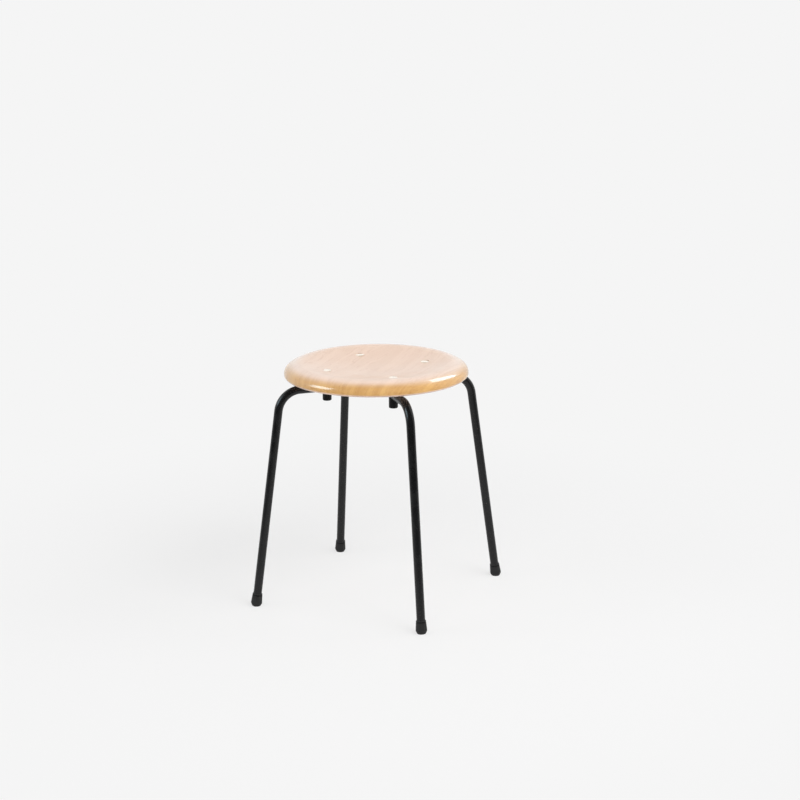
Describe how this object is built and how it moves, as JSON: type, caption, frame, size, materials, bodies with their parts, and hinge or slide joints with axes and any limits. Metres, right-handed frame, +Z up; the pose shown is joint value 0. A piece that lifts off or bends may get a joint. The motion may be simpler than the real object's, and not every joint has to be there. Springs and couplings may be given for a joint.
{
  "type": "stacking stool",
  "caption": "Stacking stool with a dished round seat of moulded beech, bent black tube legs, bright bolt heads and rubber feet.",
  "frame": {"origin": "on the floor, below the centre of the seat", "axes": "+Z up through the centre of the seat; the legs stand on the diagonals between X and Y; -Y is called the front"},
  "size_m": [0.3692, 0.3692, 0.4582],
  "materials": {
    "beech": "clear satin lacquer on beech veneer",
    "frame_paint": "satin black powder coat",
    "black_rubber": "matt moulded rubber",
    "black_plastic": "fine-grained moulded plastic",
    "bright_steel": "polished and nickel plated",
    "zinc_steel": "bright zinc plate"
  },
  "bodies": {
    "root": {"seat": "beech", "frame_hub": "frame_paint", "front_right_leg": "frame_paint", "front_right_weld": "frame_paint", "front_right_spacer": "black_plastic", "front_right_bolt": "bright_steel", "front_right_washer": "zinc_steel", "front_right_nut": "zinc_steel", "front_right_stacking_buffer": "black_plastic", "front_right_foot": "black_rubber", "front_right_foot_disc": "zinc_steel", "rear_right_leg": "frame_paint", "rear_right_weld": "frame_paint", "rear_right_spacer": "black_plastic", "rear_right_bolt": "bright_steel", "rear_right_washer": "zinc_steel", "rear_right_nut": "zinc_steel", "rear_right_stacking_buffer": "black_plastic", "rear_right_foot": "black_rubber", "rear_right_foot_disc": "zinc_steel", "rear_left_leg": "frame_paint", "rear_left_weld": "frame_paint", "rear_left_spacer": "black_plastic", "rear_left_bolt": "bright_steel", "rear_left_washer": "zinc_steel", "rear_left_nut": "zinc_steel", "rear_left_stacking_buffer": "black_plastic", "rear_left_foot": "black_rubber", "rear_left_foot_disc": "zinc_steel", "front_left_leg": "frame_paint", "front_left_weld": "frame_paint", "front_left_spacer": "black_plastic", "front_left_bolt": "bright_steel", "front_left_washer": "zinc_steel", "front_left_nut": "zinc_steel", "front_left_stacking_buffer": "black_plastic", "front_left_foot": "black_rubber", "front_left_foot_disc": "zinc_steel"}
  },
  "joints": []
}
